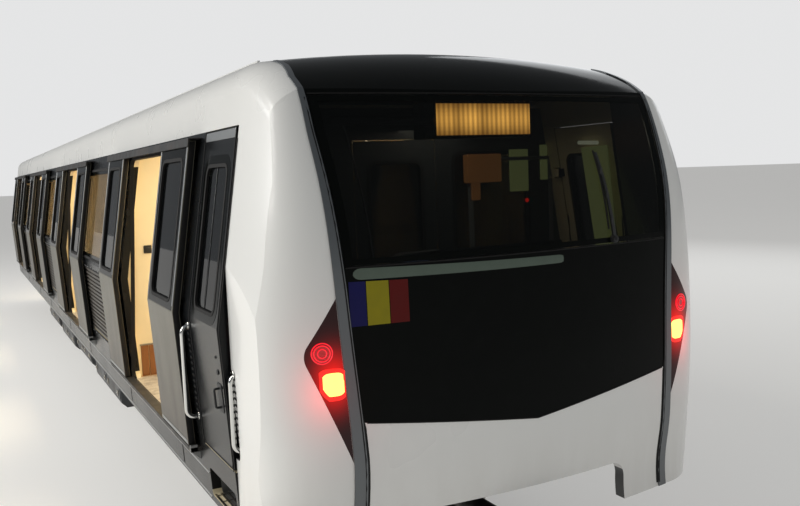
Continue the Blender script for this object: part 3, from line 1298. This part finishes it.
def roof_parts():
    """Slats, lid seams, bolts and lifting eyes of the roof units, roof seams and two aerials."""
    slats, lids, bolts, seams, eyes, aerial = pieces(6)
    lid_up = 0.0695
    for x0 in (-7.200, -1.200, 4.800):
        for k in range(10):
            x = x0 + 0.150 + k * 2.100 / 9
            for step in (-0.018, 0, 0.018):
                over_roof(slats, x + step - 0.002, x + step + 0.004, 0.690, 0.0545, 0.012)
        for x in (x0 + 0.030, x0 + 2.370):
            over_roof(lids, x - 0.014, x + 0.014, 0.770, lid_up, 0.0004)
            for y in (-0.72, -0.48, 0.48, 0.72):
                bolts.bolt((x, y, crown_z(y) + lid_up), UP, 0.010, 0.006)
        for side in (LEFT, RIGHT):
            for x in spaced(x0 + 0.1, x0 + 2.3, 0.275):
                bolts.bolt((x, side * 0.799, crown_z(0.8) + 0.035), (0, side, 0))
            for x in (x0 + 0.25, x0 + 2.15):
                lifting_eye(eyes, x, side * 0.840)
    for x in spaced(-9.2, 8.3, 1.25):
        over_roof(seams, x - 0.012, x + 0.012, 1.140, -0.001, 0.005)
    for y in (-1.145, 1.145):
        z = crown_z(y)
        seams.block((-9.46, y - 0.004, z - 0.004), (8.44, y + 0.004, z + 0.003), 0.001)
    for x, profile in ((7.650, [(0.065, 0), (0.065, 0.010), (0.030, 0.018), (0.022, 0.050), (0.012, 0.056)]),
                       (-8.900, [(0.050, 0), (0.050, 0.010), (0.018, 0.016), (0.012, 0.046), (0.006, 0.050)])):
        aerial.turned((x, 0, crown_z(0) - 0.004), UP, profile, 28)
    slats.finish("roof_unit_slats", CHASSIS, slot="roof_grey")
    lids.finish("roof_unit_lid_seams", RUBBER)
    bolts.finish("roof_unit_bolts", STEEL, slot="roof_grey")
    seams.finish("roof_seams", ROOF)
    eyes.finish("lifting_eyes", STEEL, slot="roof_grey")
    aerial.finish("roof_aerials", PLASTIC)


roof_parts()

# Rear end

END_X = -9.525
GANGWAY_FACE = -9.7175


def grab_iron(piece, spots, depth, bend, radius):
    """A bar that stands off the end wall between two spots, each (across, height)."""
    near, far = END_X + 0.004, END_X - depth
    (y0, z0), (y1, z1) = spots
    piece.tube(rounded_path([(near, y0, z0), (far, y0, z0), (far, y1, z1), (near, y1, z1)], bend), radius)


def rear_end():
    """Gangway bellows' ridges, tread plate and bolts, grab irons, sockets and seams of the end wall."""
    ridges, tread, bolts, irons, sockets, seams = pieces(6)
    fold = 0.0425
    for k in range(4):
        x = END_X - (k + 0.3) * fold
        for limits, radius in (((-0.872, 0.872, 1.036, 3.280, 0.242), 0.009),
                               ((-0.778, 0.778, 1.130, 3.186, 0.148), 0.007)):
            loop = rounded_loop(*limits, 8)
            ridges.tube([(x, a, b) for a, b in loop + loop[:1]], radius, 8)
    tread.block((-9.715, -0.640, 1.160), (-9.380, 0.640, 1.170), 0.003)
    for y in spaced(-0.60, 0.60, 0.06):
        tread.block((-9.700, y - 0.006, 1.170), (-9.395, y + 0.006, 1.173), 0.001)
    spots = [(y, z) for z in spaced(1.25, 3.06, 0.2) for y in (-0.82, 0.82)]
    spots += [(y, z) for y in spaced(-0.65, 0.65, 0.2) for z in (1.088, 3.228)]
    for y, z in spots:
        bolts.bolt((GANGWAY_FACE, y, z), (-1, 0, 0), 0.011)
    for side in (LEFT, RIGHT):
        grab_iron(irons, ((side * 1.30, 1.30), (side * 1.30, 2.30)), 0.065, 0.03, 0.014)
        for z in (1.30, 2.30):
            irons.disc((END_X + 0.001, side * 1.30, z), (-1, 0, 0), 0.030, 0.008, 24, 0.002)
        for z in (1.02, 1.18):
            grab_iron(irons, ((side * 1.06, z), (side * 1.34, z)), 0.10, 0.02, 0.012)
        middle, seam = side * 0.635, side * 1.10
        sockets.block((END_X - 0.075, middle - 0.085, 0.885), (END_X + 0.001, middle + 0.085, 1.000), 0.010)
        for y in (0.585, 0.635, 0.685):
            sockets.disc((END_X - 0.074, side * y, 0.945), (-1, 0, 0), 0.020, 0.025, 20, 0.003)
        seams.block((END_X - 0.003, seam - 0.005, 0.90), (END_X + 0.001, seam + 0.005, 3.40), 0.001)
        for z in spaced(1.0, 3.2, 0.22):
            seams.bolt((END_X + 0.001, side * 1.135, z), (-1, 0, 0))
    seams.block((END_X - 0.003, -1.30, 3.300), (END_X + 0.001, 1.30, 3.310), 0.001)
    ridges.finish("bellows_ridges", RUBBER, slot="bellows_rubber")
    tread.finish("gangway_tread_plate", TREAD)
    bolts.finish("gangway_frame_bolts", STEEL, slot="sill_metal")
    irons.finish("end_wall_grab_irons", CHROME)
    sockets.finish("jumper_sockets", GREY_PLASTIC)
    seams.finish("end_wall_seams", RUBBER)


rear_end()

# Under the floor

UNDERFLOOR = [(-3.900, -2.300, -1.330, -0.350, 0.430), (-3.900, -2.300, 0.350, 1.330, 0.430),
              (-1.900, -0.300, -1.330, 1.330, 0.400), (0.100, 1.500, -1.330, -0.300, 0.460),
              (0.100, 1.500, 0.300, 1.330, 0.460), (1.900, 3.700, -1.330, 1.330, 0.420)]
LID_WIDTH, LID_FACE, LID_TOP = 0.620, 1.338, 0.898


def lid_block(piece, side, x0, x1, inner, outer, z0, z1, edge):
    """A block on a box's side between two distances from the car's middle."""
    y0, y1 = sorted((side * inner, side * outer))
    piece.block((x0, y0, z0), (x1, y1, z1), edge)


def box_fittings():
    """Latches, hinges, louvres and screws on the lids of the underfloor boxes."""
    latches, louvres, screws = pieces(3)
    face, high = LID_FACE, LID_TOP
    for row, (x0, x1, y0, y1, z0) in enumerate(UNDERFLOOR):
        count = int((x1 - x0) / LID_WIDTH)
        pitch = (x1 - x0) / count
        low = z0 + 0.090
        for side in [s for s, y in ((RIGHT, y0), (LEFT, y1)) if abs(y) > 1.0]:
            out = (0, side, 0)
            for k in range(count):
                a, b = x0 + k * pitch + 0.030, x0 + (k + 1) * pitch - 0.030
                for x in (a + 0.09, b - 0.09):
                    lid_block(latches, side, x - 0.018, x + 0.018, face - 0.001, face + 0.012, low + 0.030,
                              low + 0.095, 0.004)
                    latches.disc((x, side * (face + 0.011), low + 0.062), out, 0.012, 0.008, 16, 0.002)
                    lid_block(latches, side, x - 0.030, x + 0.030, face - 0.002, face + 0.008, high - 0.018,
                              high + 0.010, 0.003)
                    latches.tube([(end, side * (face + 0.006), high - 0.002) for end in (x - 0.034, x + 0.034)],
                                 0.008, 8)
                if (row + k) % 2:
                    near, far = side * (face - 0.001), side * (face + 0.011)
                    for n in range(7):
                        z = low + 0.120 + n * (high - low - 0.22) / 7
                        louvres.loft([[(x, near, z), (x, far, z + 0.002), (x, far, z + 0.006), (x, near, z + 0.028)]
                                      for x in (a + 0.07, b - 0.07)])
                else:
                    for x in (a + 0.06, b - 0.06):
                        for z in (low + 0.14, high - 0.06):
                            screws.bolt((x, side * (face - 0.001), z), out)
        for x in spaced(x0 + 0.15, x1 - 0.15, 0.4):
            for y in (y0 + 0.12, y1 - 0.12):
                screws.bolt((x, y, z0 + 0.001), (0, 0, -1), 0.011, 0.008)
    latches.finish("box_latches_and_hinges", STEEL)
    louvres.finish("box_louvres", BOXES)
    screws.finish("box_screws", SILL, slot="box_grey")


def pipes_and_tanks():
    """Brake pipes and their clamps, the air tanks' bands and the bolts along the main beams."""
    pipes, clamps, bands, beams = pieces(4)
    tank_z = 0.668
    for y, radius in ((1.345, 0.016), (1.300, 0.011)):
        for span in ((-9.30, -7.95), (-4.75, 4.40)):
            pipes.tube([(x, y, 0.925) for x in span], radius)
    for x in spaced(-4.60, 4.25, 0.8):
        clamps.block((x - 0.012, 1.285, 0.905), (x + 0.012, 1.366, 0.962), 0.003)
    for x in (-2.100, -0.100, 1.700):
        for y in (0.30, 0.75, 1.08):
            bands.ring((x, y, tank_z), ACROSS, 0.138, 0.1445, 0.032)
        bands.disc((x, 1.285, tank_z), ACROSS, 0.030, 0.022, 20, 0.004)
        bands.bolt((x, 1.306, tank_z), ACROSS, 0.014, 0.010)
    for x in spaced(-9.2, 8.4, 0.9):
        for y, out in ((1.1695, -1), (1.309, 1)):
            beams.bolt((x, y, 1.03), (0, out, 0), 0.012, 0.008)
    pipes.both("brake_pipes", STEEL)
    clamps.both("pipe_clamps", CHASSIS)
    bands.both("air_tank_bands", CHASSIS)
    beams.both("main_beam_bolts", STEEL)


box_fittings()
pipes_and_tanks()

# Running gear

AXLE_Z, SIDE_FRAME_Y = 0.458, 1.000
AXLE_REACH, SLEEVE_REACH, SPRING_RADIUS = 1.100, 0.212, 0.260
SPRING_LOW, SPRING_HIGH = 0.6003, 0.9577
# The sleeves' folds beside each axle box: radius and height.
SLEEVE_FOLDS = [(0.030, 0.4500), (0.0585, 0.4515), (0.0535, 0.4640), (0.0470, 0.4700), (0.0535, 0.4745),
                (0.0535, 0.4835), (0.0470, 0.4880), (0.0535, 0.4940), (0.0585, 0.5065), (0.030, 0.5080)]
# One lobe of an air spring: share of its height, and radius as a share of the spring's.
LOBE = [(0.10, 0.938), (0.22, 0.985), (0.36, 1.006), (0.64, 1.006), (0.78, 0.985), (0.90, 0.938)]


def air_spring(piece, x):
    foot, head = SPRING_LOW + 0.090, SPRING_HIGH - 0.030
    lobe = (head - foot) / 2
    outline = [(0.200, foot + 0.012)]
    outline += [(SPRING_RADIUS * radius + 0.001, z + lobe * share) for z in (foot, foot + lobe)
                for share, radius in LOBE]
    piece.revolved((x, SIDE_FRAME_Y, 0), UP, outline + [(0.200, head - 0.012)], 48)


def dress_bogie(body, middle):
    """Axle covers, springs, gear cases, motor ribs, frame plates, tie rods and all bolts of a bogie."""
    covers, bolts, sleeves, gear, ribs, plates, rods = pieces(7)
    for axle_x, inward in ((middle - AXLE_REACH, 1), (middle + AXLE_REACH, -1)):
        covers.disc((axle_x, 1.090, AXLE_Z), ACROSS, 0.112, 0.016, 36, 0.005)
        covers.disc((axle_x, 1.105, AXLE_Z), ACROSS, 0.055, 0.014, 28, 0.004)
        for spot in circle((axle_x, 1.105, AXLE_Z), ACROSS, 0.090, 6, 30):
            bolts.bolt(spot, ACROSS, 0.013, 0.010)
        for x in (axle_x - SLEEVE_REACH, axle_x + SLEEVE_REACH):
            sleeves.revolved((x, SIDE_FRAME_Y, 0), UP, SLEEVE_FOLDS, 28)
        gear.ring((axle_x, 0.370, AXLE_Z), ACROSS, 0.092, 0.205, 0.105, 40)
        x0, x1 = sorted((axle_x + inward * 0.150, axle_x + inward * 0.300))
        gear.block((x0, 0.375, AXLE_Z - 0.120), (x1, 0.470, AXLE_Z + 0.120), 0.020)
        gear.block((x0 - 0.02, 0.300, AXLE_Z - 0.080), (x1 + 0.02, 0.380, AXLE_Z + 0.080), 0.015)
        for spot in circle((axle_x, 0.474, AXLE_Z), ACROSS, 0.190, 10):
            bolts.bolt(spot, ACROSS, 0.009, 0.008)
    air_spring(sleeves, middle)
    for z in (SPRING_LOW + 0.039, SPRING_HIGH - 0.019):
        for spot in circle((middle, SIDE_FRAME_Y, z), UP, 0.218, 12):
            bolts.bolt(spot, UP)
    for side in (-1, 1):
        x0, x1 = sorted((middle + side * 0.270, middle + side * 0.850))
        motor = rounded_loop(x0, x1, 0.290, 0.650, 0.100, 6)
        for y in spaced(0.03, 0.30, 0.045):
            ribs.loft([[(a, y + step, b) for a, b in motor] for step in (-0.005, 0.005)])
        for x in (middle + side * 0.42, middle + side * 0.70):
            for z in (0.36, 0.58):
                bolts.bolt((x, 0.328, z), ACROSS, 0.016, 0.012)
    for reach, half, y0, y1, z0, z1 in ((0.62, 0.100, 1.060, 1.072, 0.520, 0.640),
                                        (0.32, 0.020, 1.062, 1.080, 0.405, 0.590),
                                        (1.30, 0.020, 0.985, 1.015, 0.620, 0.668)):
        for x in (middle - reach, middle + reach):
            plates.block((x - half, y0, z0), (x + half, y1, z1), 0.004)
    for x in [middle + end + dx for end in (-0.62, 0.62) for dx in (-0.075, 0.075)]:
        for z in (0.545, 0.615):
            bolts.bolt((x, 1.071, z), ACROSS, 0.010, 0.009)
    rods.tube([(middle - 0.90, 0.52, 0.47), (middle + 0.90, 0.52, 0.47)], 0.020, 12)
    for x in (middle - 0.34, middle + 0.34):
        rods.disc((x, 0.52, 0.47), ALONG, 0.034, 0.040, 20, 0.006)
    covers.both(body + "_axle_covers", CAST, body)
    bolts.both(body + "_bolts", STEEL, body)
    sleeves.both(body + "_rubber_springs", RUBBER, body, slot="bellows_rubber")
    gear.both(body + "_gear_cases", CAST, body)
    ribs.both(body + "_motor_ribs", CHASSIS, body)
    plates.both(body + "_frame_plates", CHASSIS, body)
    rods.both(body + "_tie_rods", STEEL, body)


def dress_wheelset(body):
    """The bright running bands and rim rings of two wheels, and their bolted hub rings."""
    tread, hub = pieces(2)
    low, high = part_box(body)
    x = (low.x + high.x) / 2
    for outline in ([(0.424, 0.716), (0.4345, 0.716), (0.4308, 0.806), (0.424, 0.806)],
                    [(0.384, 0.8135), (0.423, 0.8135), (0.421, 0.8165), (0.386, 0.8165)]):
        tread.revolved((x, 0, AXLE_Z), ACROSS, outline, 72)
    hub.ring((x, 0.816, AXLE_Z), ACROSS, 0.084, 0.116, 0.012, 40)
    for spot in circle((x, 0.827, AXLE_Z), ACROSS, 0.100, 8, 22.5):
        hub.bolt(spot, ACROSS, 0.010, 0.008)
    tread.both(body + "_running_bands", STEEL, body, slot="wheel_steel")
    hub.both(body + "_hub_rings", CAST, body, slot="wheel_steel")


dress_bogie("bogie_front", 6.200)
dress_bogie("bogie_rear", -6.400)
for name in NODES:
    if name.startswith("wheelset"):
        dress_wheelset(name)

# Couplers

COUPLER_Z, COUPLER_FACE = 0.748, 9.604


def coupler_parts():
    """Bolts, rings, contact cover and release handle of the front coupler, and the rear drawbar's bolts."""
    bolts, cover, handle, rear = pieces(4)
    z, face = COUPLER_Z, COUPLER_FACE
    spots = [(y, z + 0.155) for y in (-0.205, -0.07, 0.07, 0.205)]
    spots += [(y, z - 0.155) for y in (-0.205, 0.205)]
    spots += [(y, height) for height in (z - 0.06, z + 0.06) for y in (-0.215, 0.215)]
    for y, height in spots:
        bolts.bolt((face, y, height), ALONG, 0.011, 0.009)
    for spot in circle((9.4145, 0, z), ALONG, 0.084, 8):
        bolts.bolt(spot, ALONG)
    bolts.ring((9.380, 0, z), ALONG, 0.098, 0.105, 0.016, 36, -0.008)
    bolts.ring((face, -0.105, z), ALONG, 0.086, 0.098, 0.005, 40)
    bolts.ring((face, 0.105, z), ALONG, 0.081, 0.093, 0.005, 40)
    cover.block((9.594, -0.165, 0.480), (9.606, 0.165, 0.560), 0.006)
    cover.tube([(9.600, -0.165, 0.566), (9.600, 0.165, 0.566)], 0.007, 8)
    for y in spaced(-0.14, 0.14, 0.035):
        cover.block((9.605, y - 0.006, 0.490), (9.609, y + 0.006, 0.550), 0.001)
    bar = [(9.500, -0.185, 0.790), (9.500, -0.225, 0.790), (9.440, -0.225, 0.850)]
    handle.tube(rounded_path(bar, 0.02), 0.009)
    handle.disc((9.500, -0.186, 0.790), (0, -1, 0), 0.026, 0.012, 20, 0.003)
    handle.disc((9.490, 0.0, 0.896), UP, 0.036, 0.014, 24, 0.004)
    for spot in circle((-9.686, 0, z), ALONG, 0.105, 4, 45):
        rear.bolt(spot, ALONG, 0.020, 0.016)
        rear.disc(spot - Vector((0.037, 0, 0)), ALONG, 0.0115, 0.06, 16, 0.002)
    rear.ring((-9.300, 0, z), ALONG, 0.063, 0.082, 0.050, 32, -0.025)
    bolts.finish("coupler_bolts_and_rings", STEEL, "coupler_front", "cast_steel")
    cover.finish("coupler_contact_cover", GREY_PLASTIC, "coupler_front", "cast_steel")
    handle.finish("coupler_release_handle", STEEL, "coupler_front", "bright_rail")
    rear.finish("drawbar_bolts", STEEL, "drawbar_rear", "cast_steel")


coupler_parts()

# Stage and camera


def stage():
    size, shade = 400.0, tone("DEDDDA")
    mesh = bpy.data.meshes.new("studio_floor")
    mesh.from_pydata([(-size, -size, 0), (size, -size, 0), (size, size, 0), (-size, size, 0)], [], [(0, 1, 2, 3)])
    ground = bpy.data.objects.new("studio_floor", mesh)
    bpy.context.scene.collection.objects.link(ground)
    finish = Finish("studio_floor", shade, 0.9, specular_ior_level=0.1)
    finish.put("Base Color", finish.mix(finish.noise(0.3, 2.0), shade, tuple(0.98 * c for c in shade)))
    mesh.materials.append(finish.glow(shade, 0.36).material)


def soft_lamp(name, place, target, size, power, colour=(1, 1, 1), mirrored=True):
    lamp = bpy.data.lights.new(name, "AREA")
    lamp.shape = "RECTANGLE"
    lamp.size, lamp.size_y = size
    lamp.energy = power
    lamp.color = colour
    holder = bpy.data.objects.new(name, lamp)
    holder.location = place
    holder.rotation_euler = (Vector(target) - Vector(place)).to_track_quat("-Z", "Y").to_euler()
    holder.visible_camera = False
    holder.visible_glossy = mirrored
    bpy.context.scene.collection.objects.link(holder)


def camera():
    """The photograph's viewpoint: its heading, pitch, roll and focal length in pixels."""
    place = Vector((13.221, -2.778, 2.868))
    heading, pitch, roll = math.radians(27.61), math.radians(5.35), math.radians(-2.28)
    focal_pixels, picture_width, sensor = 843.8, 800.0, 36.0
    level = math.cos(pitch)
    ahead = Vector((-math.cos(heading) * level, math.sin(heading) * level, -math.sin(pitch)))
    right = ahead.cross(Vector(UP)).normalized()
    up = right.cross(ahead)
    right, up = math.cos(roll) * right + math.sin(roll) * up, math.cos(roll) * up - math.sin(roll) * right
    view = bpy.data.cameras.new("camera")
    view.sensor_width = sensor
    view.lens = focal_pixels / picture_width * sensor
    view.clip_end = 900
    holder = bpy.data.objects.new("camera", view)
    holder.matrix_world = Matrix.Translation(place) @ Matrix((right, up, -ahead)).transposed().to_4x4()
    bpy.context.scene.collection.objects.link(holder)
    bpy.context.scene.camera = holder


def backdrop(tree, colour, strength):
    node = tree.nodes.new("ShaderNodeBackground")
    node.inputs["Color"].default_value = (*colour, 1)
    node.inputs["Strength"].default_value = strength
    return node.outputs[0]


def chosen(tree, *sockets):
    """A mix of two backdrops: its share, the first and the second."""
    node = tree.nodes.new("ShaderNodeMixShader")
    for socket, into in zip(sockets, node.inputs):
        tree.links.new(socket, into)
    return node.outputs[0]


def lighting():
    """A pale world for the eye, softer for the light it gives and dimmer in reflections."""
    world = bpy.data.worlds.new("studio")
    world.use_nodes = True
    bpy.context.scene.world = world
    tree = world.node_tree
    tree.nodes.clear()
    rays = tree.nodes.new("ShaderNodeLightPath").outputs
    ambient = backdrop(tree, (0.92, 0.93, 0.95), 0.30)
    mirrored = backdrop(tree, (0.80, 0.84, 0.88), 0.20)
    seen = backdrop(tree, (0.93, 0.935, 0.94), 0.84)
    light = chosen(tree, rays["Is Camera Ray"], chosen(tree, rays["Is Glossy Ray"], ambient, mirrored), seen)
    tree.links.new(light, tree.nodes.new("ShaderNodeOutputWorld").inputs["Surface"])
    soft_lamp("key", (2, -18, 12), (4, 0, 2.2), (18, 12), 2900, (1.0, 0.98, 0.94))
    soft_lamp("fill", (20, 10, 9), (7, 0, 2), (10, 8), 160, (0.95, 0.98, 1.0), False)
    soft_lamp("side", (-6, -17, 9), (-4, 0, 2), (18, 8), 1000)
    soft_lamp("far_side", (-4, 18, 11), (0, 0, 2), (20, 10), 700, (0.96, 0.98, 1.0))
    for side in (LEFT, RIGHT):
        soft_lamp("lamp_glow_%d" % side, (9.55, side * 1.25, 1.80), (9.20, side * 1.24, 1.80), (0.10, 0.10), 0.35,
                  (1.0, 0.03, 0.03), False)
    for k in range(4):
        x = 6.0 - 4.6 * k
        soft_lamp("saloon_%d" % k, (x, 0, 3.27), (x, 0, 1.2), (3.2, 1.6), 135, (1.0, 0.86, 0.58))
    soft_lamp("cab", (8.25, 0.3, 3.20), (8.4, 0.3, 1.2), (0.5, 1.4), 7, (1.0, 0.92, 0.70))


stage()
camera()
lighting()
bpy.context.scene.view_settings.view_transform = "Standard"
